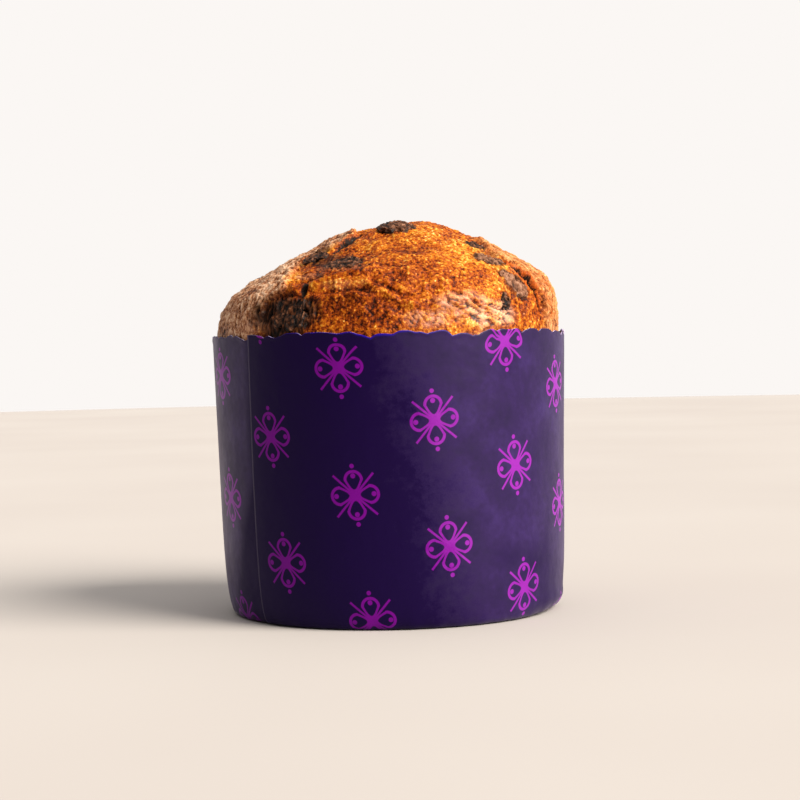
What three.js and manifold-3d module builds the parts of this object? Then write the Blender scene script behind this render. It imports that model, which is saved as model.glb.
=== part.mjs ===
// A sweet leavened cake with chocolate chunks in its crust, standing in the paper mould it was baked in.
// Units are millimetres. +Z is up, the mould stands on Z = 0 and the front faces -Y.

import * as THREE from "three";
import { mergeVertices } from "three/addons/utils/BufferGeometryUtils.js";
import Module from "manifold-3d";

const wasm = await Module();
wasm.setup();

// Driving dimensions of the mould
const mouldHeight = 112; // the wall's mean height
const rimRadius = 70.8; // outside of the paper at the rim
const wallTaper = 2.1; // how much narrower the wall is just above the foot
const footTuck = 2.5; // the extra pull-in where the wall turns under
const tuckHeight = 8; // height over which that pull-in fades
const rimCentre = -0.1; // X of the mould's axis at the rim
const footLean = 1; // the foot stands this much further to +X than the rim
const paper = 0.5; // two glued plies
const gap = 0.3; // clearance between pieces that touch
const flangeWidth = 11; // the fold under the base
const foldRadius = 1.6; // the rounded corner of that fold
// Dips in the cut edge: bearing from the front and reach in degrees, depth in mm
const rimDips = [
  { bearing: -41, reach: 6, depth: 1.1 },
  { bearing: -4, reach: 5, depth: 1.2 },
  { bearing: 25, reach: 5, depth: 2.2 },
  { bearing: 76, reach: 10, depth: 1.6 },
  { bearing: 118, reach: 7, depth: 1.4 },
  { bearing: 158, reach: 6, depth: 1.8 },
  { bearing: 201, reach: 9, depth: 1.3 },
  { bearing: 246, reach: 6, depth: 1.6 },
  { bearing: 283, reach: 8, depth: 1.2 },
];
const seamBearing = -47; // where the outer end of the band lies, in degrees from the front
const seamOverlap = 15; // degrees that the two ends overlap
const seamRamp = 12; // degrees over which the inner end comes out to the mould's radius
const wallColumns = 100;

// Driving dimensions of the base disc
const discInset = 3.6; // from the mould's foot to the disc's edge
const ventRadius = 2.5;
const ventCircle = 36; // radius of the ring of vents round the middle one
const ventCount = 6;
const discSides = 48;

// Driving dimensions of the cake
const cakeInset = 2 * (paper + gap); // clears both plies where the band overlaps
const cakeFloor = 2 * paper + 3 * gap; // above the fold and the disc
const floorRound = 3; // bevel round the bottom of the crumb
const cakeColumns = 72;
const domeStep = 5; // degrees of tilt between rings on the dome
const knotStep = 10; // degrees of tilt between the knots below

// Distance from the middle of the rim to the crust, every 10 degrees from straight up to level,
// on the steep right side and on the sloping left side
const rightCrust = [43.2, 44.9, 47.0, 49.5, 51.5, 54.2, 58.9, 66.7, 69.1, 69.2];
const leftCrust = [43.2, 41.6, 43.0, 45.8, 46.9, 49.3, 53.6, 60.1, 65.8, 69.2];

// Swellings of the crust: bearing from the front and tilt from straight up in degrees, reach and height in mm
const swellings = [
  { bearing: -6, tilt: 83, reach: 13, height: 1.1 },
  { bearing: 27, tilt: 83, reach: 12, height: 1.0 },
  { bearing: 16, tilt: 58, reach: 15, height: 1.4 },
  { bearing: -52, tilt: 72, reach: 16, height: 1.0 },
  { bearing: 118, tilt: 70, reach: 18, height: 1.2 },
  { bearing: 165, tilt: 60, reach: 18, height: 1.8 },
  { bearing: -132, tilt: 74, reach: 17, height: 1.4 },
];
const swellingFade = 8; // degrees above the rim over which they die away

// Chunks: place as above, half sizes across, along and through, turn about the crust's normal in degrees,
// and how far the middle of the chunk lies under the crust
const chunks = [
  { bearing: 10, tilt: 31, half: [7.2, 6.0, 3.0], turn: 12, sink: 1.2 },
  { bearing: -38, tilt: 56, half: [6.4, 3.6, 2.6], turn: 38, sink: 1.2 },
  { bearing: -18, tilt: 62, half: [7.4, 4.2, 2.6], turn: 12, sink: 1.3 },
  { bearing: -33, tilt: 83.5, half: [8.2, 5.6, 2.6], turn: 6, sink: 1.5 },
  { bearing: 52, tilt: 54, half: [5.6, 2.0, 2.0], turn: -52, sink: 0.9 },
  { bearing: 46, tilt: 64.5, half: [5.8, 2.5, 2.2], turn: -46, sink: 1.0 },
  { bearing: 48.5, tilt: 75, half: [6.8, 3.6, 2.5], turn: -40, sink: 1.3 },
  { bearing: 41.5, tilt: 81.5, half: [3.4, 2.2, 2.0], turn: 70, sink: 0.9 },
  { bearing: 104, tilt: 66, half: [5.8, 3.4, 2.4], turn: 25, sink: 1.1 },
  { bearing: 146, tilt: 48, half: [7.0, 4.4, 2.8], turn: -30, sink: 1.2 },
  { bearing: 176, tilt: 77, half: [7.6, 4.6, 2.6], turn: 10, sink: 1.4 },
  { bearing: -142, tilt: 58, half: [6.6, 3.8, 2.6], turn: 60, sink: 1.2 },
  { bearing: -98, tilt: 68, half: [6.0, 3.6, 2.4], turn: -15, sink: 1.2 },
];
const chunkSides = 12;
const chunkRings = 7;
const chunkSquareness = 0.62; // below 1 squares a ball off towards a broken block

const radians = THREE.MathUtils.degToRad;
const mix = THREE.MathUtils.lerp;
const ease = THREE.MathUtils.smoothstep;

// The mould's axis and outside radius at a height
function mouldCentre(z) {
  return rimCentre + footLean * Math.max(0, 1 - z / mouldHeight) ** 1.5;
}

function mouldRadius(z) {
  const below = Math.max(0, 1 - z / mouldHeight);
  return rimRadius - wallTaper * below ** 1.3 - footTuck * Math.exp(-z / tuckHeight);
}

function rimHeight(bearing) {
  let height = mouldHeight + 0.5;
  for (const dip of rimDips) {
    const away = ((bearing - dip.bearing + 540) % 360) - 180;
    height -= dip.depth * Math.exp(-((away / dip.reach) ** 2));
  }
  return height;
}

function pointAt(bearing, radius, z) {
  const angle = radians(bearing);
  return new THREE.Vector3(mouldCentre(z) + radius * Math.sin(angle), -radius * Math.cos(angle), z);
}

// Catmull-Rom through evenly spaced values
function spline(values, place) {
  const last = values.length - 1;
  const i = Math.min(Math.floor(place), last - 1);
  const u = place - i;
  const [a, b, c, d] = [Math.max(i - 1, 0), i, i + 1, Math.min(i + 2, last)].map((k) => values[k]);
  return b + 0.5 * u * (c - a + u * (2 * a - 5 * b + 4 * c - d + u * (3 * (b - c) + d - a)));
}

const domeCentre = new THREE.Vector3(rimCentre, 0, mouldHeight);

function direction(bearing, tilt) {
  const [b, t] = [radians(bearing), radians(tilt)];
  return new THREE.Vector3(Math.sin(t) * Math.sin(b), -Math.sin(t) * Math.cos(b), Math.cos(t));
}

function crustPoint(bearing, tilt) {
  const out = direction(bearing, tilt);
  const side = (1 + Math.sin(radians(bearing))) / 2;
  const place = tilt / knotStep;
  const smooth = mix(spline(leftCrust, place), spline(rightCrust, place), side);
  const fade = 1 - ease(tilt, 90 - swellingFade, 90);
  let swell = 0;
  for (const s of swellings) {
    const away = smooth * out.angleTo(direction(s.bearing, s.tilt));
    swell += s.height * Math.exp(-((away / s.reach) ** 2));
  }
  return out.multiplyScalar(smooth + fade * swell).add(domeCentre);
}

// Makes one closed surface from rings of points that run anticlockwise seen from above, lowest first,
// closed by a point below and a point above
function closedRings(bottom, rings, top) {
  const sides = rings[0].length;
  const points = [bottom, ...rings.flat(), top];
  const index = [];
  const at = (ring, side) => 1 + ring * sides + (side % sides);
  for (let s = 0; s < sides; s++) {
    index.push(0, at(0, s + 1), at(0, s));
    for (let r = 0; r + 1 < rings.length; r++) {
      index.push(at(r, s), at(r, s + 1), at(r + 1, s + 1), at(r, s), at(r + 1, s + 1), at(r + 1, s));
    }
    index.push(points.length - 1, at(rings.length - 1, s), at(rings.length - 1, s + 1));
  }
  return new THREE.BufferGeometry().setFromPoints(points).setIndex(index);
}

function toSolid(geometry) {
  const bare = geometry.clone();
  bare.deleteAttribute("normal");
  bare.deleteAttribute("uv");
  const merged = mergeVertices(bare, 1e-4);
  return new wasm.Manifold(
    new wasm.Mesh({
      numProp: 3,
      vertProperties: merged.attributes.position.array,
      triVerts: new Uint32Array(merged.index.array),
    }),
  );
}

function toGeometry(solid) {
  const mesh = solid.getMesh();
  return new THREE.BufferGeometry()
    .setAttribute("position", new THREE.BufferAttribute(mesh.vertProperties, 3))
    .setIndex(new THREE.BufferAttribute(mesh.triVerts, 1));
}

// The baked dough: a floor, a side that follows the paper, and the risen dome
function cakeGeometry() {
  const bearings = Array.from({ length: cakeColumns }, (_, i) => (i * 360) / cakeColumns);
  const sideRing = (z, inset) => bearings.map((b) => pointAt(b, mouldRadius(z) - inset, z));
  const sideHeights = [cakeFloor + floorRound, 12, 30, 60, 90, 106];
  const rings = [sideRing(cakeFloor, cakeInset + floorRound)];
  for (const z of sideHeights) rings.push(sideRing(z, cakeInset));
  for (let tilt = 90; tilt > 0; tilt -= domeStep) {
    rings.push(bearings.map((b) => crustPoint(b, tilt)));
  }
  return closedRings(pointAt(0, 0, cakeFloor), rings, crustPoint(0, 0));
}

// A broken block of chocolate lying in the crust, grown by a margin for the pocket that holds it
function chunkGeometry(chunk, margin) {
  const place = crustPoint(chunk.bearing, chunk.tilt);
  const east = crustPoint(chunk.bearing + 1, chunk.tilt).sub(place);
  const down = crustPoint(chunk.bearing, chunk.tilt + 1).sub(place);
  const normal = new THREE.Vector3().crossVectors(down, east).normalize();
  const across = east.normalize().applyAxisAngle(normal, radians(chunk.turn));
  const along = new THREE.Vector3().crossVectors(normal, across);
  const block = new THREE.SphereGeometry(1, chunkSides, chunkRings);
  const corner = new THREE.Vector3();
  const position = block.attributes.position;
  for (let i = 0; i < position.count; i++) {
    corner.fromBufferAttribute(position, i);
    const squared = corner.toArray().map((v) => Math.sign(v) * Math.abs(v) ** chunkSquareness);
    corner.fromArray(squared).multiplyScalar(1 / Math.cbrt(1 + Math.abs(squared[0] * squared[1])));
    corner.set(...corner.toArray().map((v, k) => v * (chunk.half[k] + margin)));
    position.setXYZ(i, corner.x, corner.y, corner.z);
  }
  const pose = new THREE.Matrix4().makeBasis(across, along, normal);
  return block.applyMatrix4(pose.setPosition(place.addScaledVector(normal, -chunk.sink)));
}

// The paper band: one outline of fold and wall, carried round from its inner end to its outer end.
// The inner end is tucked in behind the outer one, and its fold is trimmed short there.
function wallGeometry() {
  const total = 360 + seamOverlap;
  const outlines = [];
  for (let i = 0; i <= wallColumns; i++) {
    const run = (i * total) / wallColumns;
    const bearing = seamBearing - seamOverlap + run;
    const tucked = 1 - ease(run, seamOverlap, seamOverlap + seamRamp);
    const trimmed = 1 - ease(run, seamOverlap + seamRamp, seamOverlap + 1.4 * seamRamp);
    const inward = tucked * (paper + gap);
    const fold = mix(flangeWidth, foldRadius + paper, trimmed);
    const outside = [
      [-fold, 0],
      [-foldRadius, 0],
      [-0.3 * foldRadius, 0.3 * foldRadius],
      [0, foldRadius],
      ...[10, 30, 70, 104, rimHeight(bearing)].map((z) => [0, z]),
    ];
    const inside = [
      [-fold, paper],
      [-foldRadius, paper],
      [-0.3 * foldRadius - 0.7 * paper, 0.3 * foldRadius + 0.7 * paper],
      [-paper, foldRadius],
      ...outside.slice(4).map(([, z]) => [-paper, z]),
    ];
    const place = ([r, z]) => pointAt(bearing, mouldRadius(z) + r - inward, z + (z < 2 ? inward : 0));
    outlines.push([...outside.map(place), ...inside.map(place).reverse()]);
  }
  const loop = outlines[0].length;
  const index = [];
  for (let i = 0; i < wallColumns; i++) {
    for (let k = 0; k < loop; k++) {
      const [a, b] = [i * loop + k, i * loop + ((k + 1) % loop)];
      index.push(a, a + loop, b + loop, a, b + loop, b);
    }
  }
  const end = wallColumns * loop;
  for (let k = 0; k + 1 < loop / 2; k++) {
    const mate = loop - 1 - k;
    index.push(k, k + 1, mate - 1, k, mate - 1, mate);
    index.push(end + k, end + mate - 1, end + k + 1, end + k, end + mate, end + mate - 1);
  }
  return new THREE.BufferGeometry().setFromPoints(outlines.flat()).setIndex(index);
}

// The base: a paper disc on the fold, pierced so that steam gets out
function baseGeometry() {
  const radius = mouldRadius(0) - discInset;
  const bottom = paper + gap;
  const middle = mouldCentre(0);
  const disc = new THREE.CylinderGeometry(radius, radius, paper, discSides).rotateX(Math.PI / 2);
  let solid = toSolid(disc.translate(middle, 0, bottom + paper / 2));
  for (let i = 0; i <= ventCount; i++) {
    const angle = (i * 2 * Math.PI) / ventCount;
    const out = i === ventCount ? 0 : ventCircle;
    const vent = new THREE.CylinderGeometry(ventRadius, ventRadius, 4 * paper, 12).rotateX(Math.PI / 2);
    vent.translate(middle + out * Math.cos(angle), out * Math.sin(angle), bottom + paper / 2);
    solid = solid.subtract(toSolid(vent));
  }
  return toGeometry(solid);
}

const crustFinish = new THREE.MeshStandardMaterial({ color: 0xa8602a, roughness: 0.7, metalness: 0 });
const printedPaper = new THREE.MeshStandardMaterial({ color: 0x241644, roughness: 0.5, metalness: 0 });
const plainPaper = new THREE.MeshStandardMaterial({ color: 0x2b1d4c, roughness: 0.7, metalness: 0 });
const chocolate = new THREE.MeshStandardMaterial({ color: 0x2c1a12, roughness: 0.5, metalness: 0 });

const model = new THREE.Group();

function addPiece(name, geometry, material) {
  const piece = new THREE.Mesh(geometry, material.clone());
  piece.name = name;
  model.add(piece);
}

let dough = toSolid(cakeGeometry());
chunks.forEach((chunk, i) => {
  dough = dough.subtract(toSolid(chunkGeometry(chunk, gap)));
  addPiece(`chocolate_chunk_${i + 1}`, chunkGeometry(chunk, 0), chocolate);
});
addPiece("cake", toGeometry(dough), crustFinish);
addPiece("paper_wall", wallGeometry(), printedPaper);
addPiece("paper_base", baseGeometry(), plainPaper);

export default model;
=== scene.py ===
import math

import bpy
import numpy as np
from mathutils import Matrix, Vector, noise


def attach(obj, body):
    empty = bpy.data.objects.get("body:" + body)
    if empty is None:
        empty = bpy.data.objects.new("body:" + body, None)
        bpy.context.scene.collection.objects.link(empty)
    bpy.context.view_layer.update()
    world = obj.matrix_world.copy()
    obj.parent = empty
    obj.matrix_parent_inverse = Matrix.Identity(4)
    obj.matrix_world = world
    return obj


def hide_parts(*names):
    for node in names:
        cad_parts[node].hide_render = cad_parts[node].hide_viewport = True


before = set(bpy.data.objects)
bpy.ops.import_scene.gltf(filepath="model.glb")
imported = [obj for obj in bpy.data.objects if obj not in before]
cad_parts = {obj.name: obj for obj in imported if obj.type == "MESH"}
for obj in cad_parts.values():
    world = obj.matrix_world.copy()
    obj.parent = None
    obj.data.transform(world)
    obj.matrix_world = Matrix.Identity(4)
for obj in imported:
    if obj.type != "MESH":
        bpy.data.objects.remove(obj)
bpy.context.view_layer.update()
scene = bpy.context.scene
print("frame loaded:", len(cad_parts), "nodes")

# Lengths below are millimetres; meshes are written in metres.
# A bearing is degrees round the cake from its front, growing towards +X.
# A tilt is degrees down from the top.
mm = 0.001

mould = {
    "height": 112.0,
    "rimRadius": 70.8,
    "wallTaper": 2.1,
    "footTuck": 2.5,
    "tuckHeight": 8.0,
    "rimCentre": -0.1,
    "footLean": 1.0,
}


def mouldCentre(z):
    return mould["rimCentre"] + mould["footLean"] * np.maximum(0, 1 - z / mould["height"]) ** 1.5


def mouldRadius(z):
    taper = mould["wallTaper"] * np.maximum(0, 1 - z / mould["height"]) ** 1.3
    return mould["rimRadius"] - taper - mould["footTuck"] * np.exp(-z / mould["tuckHeight"])


def smoothstep(low, high, value):
    share = np.clip((value - low) / (high - low), 0, 1)
    return share * share * (3 - 2 * share)


def field(points, size, seed, kind=noise.noise):
    # one noise value for each point; size is the width of a cell
    return np.array([kind(place) for place in (points / size + seed * 13.7).tolist()])


def nearestCell(place):
    return noise.voronoi(place)[0][0]


def bend(points, size, seeds, amount):
    # the points pushed about by a field for each axis
    return points + amount * np.stack([field(points, size, seed) for seed in seeds], -1)


def turned(bearing, middle):
    return (bearing - middle + 180) % 360 - 180


def evenBearings(count):
    return -180 + 360 * np.arange(count) / count


def readArray(items, key, width, kind=float):
    # a value, or a row of values, from each item
    values = np.empty(len(items) * width, kind)
    items.foreach_get(key, values)
    return values.reshape(-1, width) if width > 1 else values


def makePiece(name, points, faces, materials=(), floats=None, uvs=None):
    mesh = bpy.data.meshes.new(name)
    mesh.vertices.add(len(points))
    mesh.vertices.foreach_set("co", (np.asarray(points) * mm).ravel())
    mesh.loops.add(len(faces) * 3)
    mesh.loops.foreach_set("vertex_index", np.asarray(faces).ravel())
    mesh.polygons.add(len(faces))
    mesh.polygons.foreach_set("loop_start", np.arange(0, len(faces) * 3, 3))
    mesh.update(calc_edges=True)
    mesh.polygons.foreach_set("use_smooth", np.ones(len(faces), bool))
    for material in materials:
        mesh.materials.append(material)
    for label, values in (floats or {}).items():
        mesh.attributes.new(label, "FLOAT", "POINT").data.foreach_set("value", values)
    if uvs is not None:
        mesh.uv_layers.new(name="OFBake").data.foreach_set("uv", uvs.ravel())
    mesh.validate()
    piece = bpy.data.objects.new(name, mesh)
    scene.collection.objects.link(piece)
    return piece


def settle(piece, name):
    # makes the modifiers real and removes them
    made = bpy.data.meshes.new_from_object(piece.evaluated_get(bpy.context.evaluated_depsgraph_get()))
    made.name = name
    piece.modifiers.clear()
    piece.data = made
    return made


def linear(code):
    # sRGB hex to the linear colour that a socket takes
    parts = [int(code[at:at + 2], 16) / 255 for at in (1, 3, 5)]
    return [part / 12.92 if part <= 0.04045 else ((part + 0.055) / 1.055) ** 2.4 for part in parts] + [1.0]


def addNode(tree, kind, settings=None, inputs=None, known=None):
    # inputs are values, sockets, sRGB codes, or names of earlier results in known
    node = tree.nodes.new(kind)
    for key, value in (settings or {}).items():
        if key == "stops":
            marks = node.color_ramp.elements
            marks.remove(marks[1])
            marks[0].position, marks[0].color = value[0][0], linear(value[0][1])
            for place, code in value[1:]:
                marks.new(place).color = linear(code)
        else:
            setattr(node, key, value)
    for key, value in inputs.items() if isinstance(inputs, dict) else enumerate(inputs or ()):
        if isinstance(value, str) and known and value in known:
            value = known[value]
        if isinstance(value, bpy.types.NodeSocket):
            tree.links.new(value, node.inputs[key])
        else:
            isColour = isinstance(value, str) and value.startswith("#")
            node.inputs[key].default_value = linear(value) if isColour else value
    return node


def newMaterial(name, attributes=(), noises=(), settings=None):
    # known holds the results that later nodes are linked to by name
    material = bpy.data.materials.new(name)
    material.use_nodes = True
    tree = material.node_tree
    tree.nodes.clear()
    known = {"place": addNode(tree, "ShaderNodeTexCoord").outputs["Object"]}
    for label in attributes:
        known[label] = addNode(tree, "ShaderNodeAttribute", {"attribute_name": label}).outputs["Fac"]
    for label, scale, detail in noises:
        inputs = {"Vector": "place", "Scale": scale, "Detail": detail, **(settings or {})}
        known[label] = addNode(tree, "ShaderNodeTexNoise", None, inputs, known).outputs["Fac"]
    return material, known


blend = "ShaderNodeMix", {"data_type": "RGBA"}


def addRows(tree, known, rows, clamped=()):
    # each row names a result: of maths with its values, or of another node with its settings and inputs
    for name, kind, *values in rows:
        if "Node" in kind:
            settings, inputs = values
        else:
            settings, inputs = {"operation": kind, "use_clamp": name in clamped}, values
            kind = "ShaderNodeMath"
        node = addNode(tree, kind, settings, inputs, known)
        known[name] = node.outputs[2 if kind == "ShaderNodeMix" else 0]


def finishMaterial(material, known, rows, clamped=()):
    # the rows end in one named shader
    addRows(material.node_tree, known, rows, clamped)
    addNode(material.node_tree, "ShaderNodeOutputMaterial", None, ["shader"], known)
    return material


def weighted(name, constant, **weights):
    # rows that add up earlier results, each times its weight, and a constant
    rows, total = [], 0.0
    for part, weight in weights.items():
        rows.append((name, "MULTIPLY_ADD", part, weight, total))
        total = name
    return rows + [(name, "ADD", name, constant)]


def outsideCircle(name, along, across, radius):
    # rows for how far a place lies outside a circle
    return [(name, "MULTIPLY", along, along), (name, "MULTIPLY_ADD", across, across, name),
            (name, "SQRT", name), (name, "SUBTRACT", name, radius)]


# The crust's outline, by tilt in steps of 10 degrees, on the right and the left side.
dome = {
    "right": [43.2, 44.9, 47.0, 49.5, 51.5, 54.2, 58.9, 66.7, 69.1, 69.2],
    "left": [43.2, 41.6, 43.0, 45.8, 46.9, 49.3, 53.6, 60.1, 65.8, 69.2],
    # bearing, tilt, reach, height
    "swellings": [
        (-6, 83, 13, 1.1), (27, 83, 12, 1.0), (16, 58, 15, 1.4), (-52, 72, 16, 1.0),
        (118, 70, 18, 1.2), (165, 60, 18, 1.8), (-132, 74, 17, 1.4),
    ],
    "inset": 1.6,
    "floor": 1.9,
    "floorRound": 3.0,
    "rings": 160,
    "sideColumns": 240,
    "floorRings": (0.85, 0.68, 0.5, 0.32, 0.16, 0),
    # how far the dome and the side below it reach on the bake map
    "domeShare": 0.41,
    "sideShare": 0.06,
}


def profile(values, tilt):
    values = np.asarray(values)
    last = len(values) - 1
    at = np.minimum(np.floor(tilt / 10).astype(int), last - 1)
    u = tilt / 10 - at
    a, b, c, d = (values[np.clip(at + step, 0, last)] for step in (-1, 0, 1, 2))
    return b + 0.5 * u * (c - a + u * (2 * a - 5 * b + 4 * c - d + u * (3 * (b - c) + d - a)))


def outward(bearing, tilt):
    b, t = np.radians(bearing), np.radians(tilt)
    return np.stack([np.sin(t) * np.sin(b), -np.sin(t) * np.cos(b), np.cos(t) + 0 * b], -1)


def crustPoint(bearing, tilt):
    bearing, tilt = np.asarray(bearing, float), np.asarray(tilt, float)
    away = outward(bearing, tilt)
    side = (1 + np.sin(np.radians(bearing))) / 2
    reach = profile(dome["left"], tilt) * (1 - side) + profile(dome["right"], tilt) * side
    swell = 0
    for toBearing, toTilt, width, height in dome["swellings"]:
        apart = np.arccos(np.clip(away @ outward(float(toBearing), float(toTilt)), -1, 1))
        swell = swell + height * np.exp(-(reach * apart / width) ** 2)
    reach = reach + swell * (1 - smoothstep(82, 90, tilt))
    return away * reach[..., None] + [mould["rimCentre"], 0, mould["height"]]


def crustFrame(bearing, tilt):
    # the point, and the directions east, down the slope, and out
    small = 0.5
    east = crustPoint(bearing + small, tilt) - crustPoint(bearing - small, tilt)
    down = crustPoint(bearing, tilt + small) - crustPoint(bearing, tilt - small)
    east, down = (way / np.linalg.norm(way) for way in (east, down))
    out = np.cross(down, east)
    return crustPoint(bearing, tilt), east, down, out / np.linalg.norm(out)


def joinRings(first, second):
    # triangles between two closed rings of vertex numbers, walking round both together
    made, i, j, n, m = [], 0, 0, len(first), len(second)
    while i < n or j < m:
        if n > 1 and (m == 1 or j >= m or (i < n and (i + 1) * m <= (j + 1) * n)):
            made.append((first[i % n], second[j % m], first[(i + 1) % n]))
            i += 1
            if m == 1 and i == n:
                break
        else:
            made.append((first[i % n], second[j % m], second[(j + 1) % m]))
            j += 1
            if n == 1 and j == m:
                break
    return made


def joinAll(rings):
    # every triangle of a stack of rings, and the number of each ring's first point
    starts = np.cumsum([0] + [len(ring) for ring in rings])
    spans = [range(start, end) for start, end in zip(starts, starts[1:])]
    return np.array([face for pair in zip(spans, spans[1:]) for face in joinRings(*pair)]), starts


def levelRing(bearing, reach, z):
    b = np.radians(bearing)
    return np.stack([mouldCentre(z) + reach * np.sin(b), -reach * np.cos(b), np.full(len(b), z)], -1)


def makeRings():
    # every ring from the top to the middle of the underside: points, bearing, tilt, and reach on the bake map
    tilts = np.linspace(0, 90, 721)
    line = (crustPoint(90.0 + 0 * tilts, tilts) + crustPoint(-90.0 + 0 * tilts, tilts) * [-1, 1, 1]) / 2
    run = np.concatenate([[0], np.cumsum(np.linalg.norm(np.diff(line, axis=0), axis=1))])
    rings = []
    for number in range(dome["rings"] + 1):
        share = number / dome["rings"]
        tilt = np.interp(run[-1] * share, run, tilts)
        bearing = evenBearings(max(1, 6 * number))
        points = crustPoint(bearing, np.full(len(bearing), tilt))
        rings.append((points, bearing, tilt, dome["domeShare"] * share))
    # height on the side, how far the floor's rounding pulls it in, and how many times finer the ring is
    places = [(110.8, 0, 4), (109.2, 0, 4), (107, 0, 2), (104, 0, 2)]
    places += [(z, 0, 1) for z in (99, 92, 82, 70, 58, 46, 34, 24, 16, 10, 6.5)]
    turn, floor, columns = dome["floorRound"], dome["floor"], dome["sideColumns"]
    for angle in np.radians(range(0, 105, 15)):
        places.append((floor + turn * (1 - math.sin(angle)), turn * (1 - math.cos(angle)), 1))
    for number, (z, pulled, finer) in enumerate(places, 1):
        bearing = evenBearings(columns * finer)
        points = levelRing(bearing, mouldRadius(z) - dome["inset"] - pulled, z)
        reach = dome["domeShare"] + dome["sideShare"] * number / len(places)
        rings.append((points, bearing, 90 + 0.01 * (number - 1), reach))
    outer = mouldRadius(floor) - dome["inset"] - turn
    for share in dome["floorRings"]:
        bearing = evenBearings(columns if share else 1)
        rings.append((levelRing(bearing, outer * share, floor), bearing, 100.0, -0.05 * share))
    return rings


# Where the old skin of the loaf still covers the torn crumb: its edges as tilt, bearing.
skinFlaps = [
    # the left flap ends in a thick slab near the top
    {"low": [(16, -90), (20, -126), (25, -140), (31, -146), (40, -143), (90, -138)],
     "high": [(16, -90), (20, -54), (25, -40), (30, -31.5), (36, -24.5), (41, -25), (46, -30), (52, -41),
              (58, -47), (64, -44), (71, -39), (76, -37), (80, -43), (90, -47)],
     "top": 16, "soft": 1.5, "amount": 1.0},
    {"low": [(40, 76), (46, 66), (54, 60), (61, 54), (67, 54), (72, 56), (77, 59), (81, 61), (90, 63)],
     "high": [(0, 108), (60, 118), (78, 126), (90, 133)], "top": 45, "soft": 3.5, "amount": 0.8},
    {"low": [(0, 146), (60, 136), (78, 130), (90, 129)],
     "high": [(0, 190), (50, 200), (68, 212), (90, 224)], "top": 40, "soft": 4.5, "amount": 0.9},
]
# bearing, tilt, half width and half height in degrees, how much skin, how glossy
skinPatches = [
    (25, 81, 9, 3.8, 0.6, 0.75),
    (33, 85.5, 12, 5.0, 0.8, 1.0),
    (14, 86.5, 8, 3.4, 0.45, 0.5),
    (-31, 68.5, 7, 1.8, 0.6, 0.1),
    (-19, 65, 11, 1.8, 0.55, 0.1),
    (-15, 74, 9, 1.6, 0.25, 0.1),
    (-50, 87, 7, 4, 0.6, 0.2),
]
# path as bearing, tilt; depth; width; height of the lip on the upper side; how much raw orange crumb it bares
creases = [
    ([(-21, 35.5), (-24.5, 41.5), (-28, 46.5), (-31.5, 51.5)], 2.8, 1.25, 0.15, 0.35),
    ([(-29, 72), (-29.5, 76), (-30, 78.5)], 2.1, 1.05, 0.3, 0.2),
    ([(-30, 78), (-36, 77.5), (-42, 79)], 1.1, 0.8, 0.3, 0.0),
    # soft folds across the front
    ([(-33, 72.5), (-25, 70.5), (-18, 68), (-8, 66.5)], 1.3, 1.7, 1.8, 0.0),
    ([(-22, 77), (-14, 76), (-6, 76.5)], 1.2, 1.6, 1.6, 0.0),
    ([(-4, 73), (0, 75.5), (5, 78.5), (10, 79.5)], 1.2, 1.4, 1.3, 0.0),
    ([(9, 77.5), (13, 77), (17, 77.5)], 0.6, 0.8, 0.5, 0.4),
    ([(10, 83), (14, 85), (19, 84.5)], 0.9, 0.9, 0.5, 0.3),
    ([(21, 77), (25, 79), (29, 81.3), (33, 84), (37, 87)], 1.2, 0.7, 0.4, 0.7),
    ([(17, 80.5), (22, 82.5), (26, 85.5)], 1.0, 0.6, 0.3, 0.6),
    ([(20, 86.5), (24, 88)], 0.9, 0.7, 0.3, 0.6),
    # the open crack on the right, and the fine one beyond it
    ([(60, 84), (59.5, 81), (57.5, 76.5), (54.5, 72.5), (52, 68), (49.5, 62.5)], 1.8, 0.55, 0.6, 1.0),
    ([(78, 79), (73, 75), (69, 72)], 0.9, 0.5, 0.4, 0.9),
    ([(70, 86), (66, 81), (63, 77)], 0.8, 0.5, 0.3, 0.8),
    ([(-51, 87), (-46, 85), (-41, 87)], 0.6, 0.8, 0.4, 0.0),
    ([(134, 44), (131, 56), (134, 68), (130, 80)], 1.5, 1.2, 0.7, 0.6),
    ([(160, 40), (172, 45), (184, 43)], 1.2, 1.1, 0.8, 0.5),
    ([(-150, 52), (-147, 64), (-151, 76)], 1.4, 1.2, 0.6, 0.6),
    ([(-100, 40), (-88, 45), (-76, 44)], 0.8, 0.9, 0.5, 0.2),
    ([(96, 80), (103, 83), (110, 82)], 0.6, 0.9, 0.4, 0.2),
]
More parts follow.
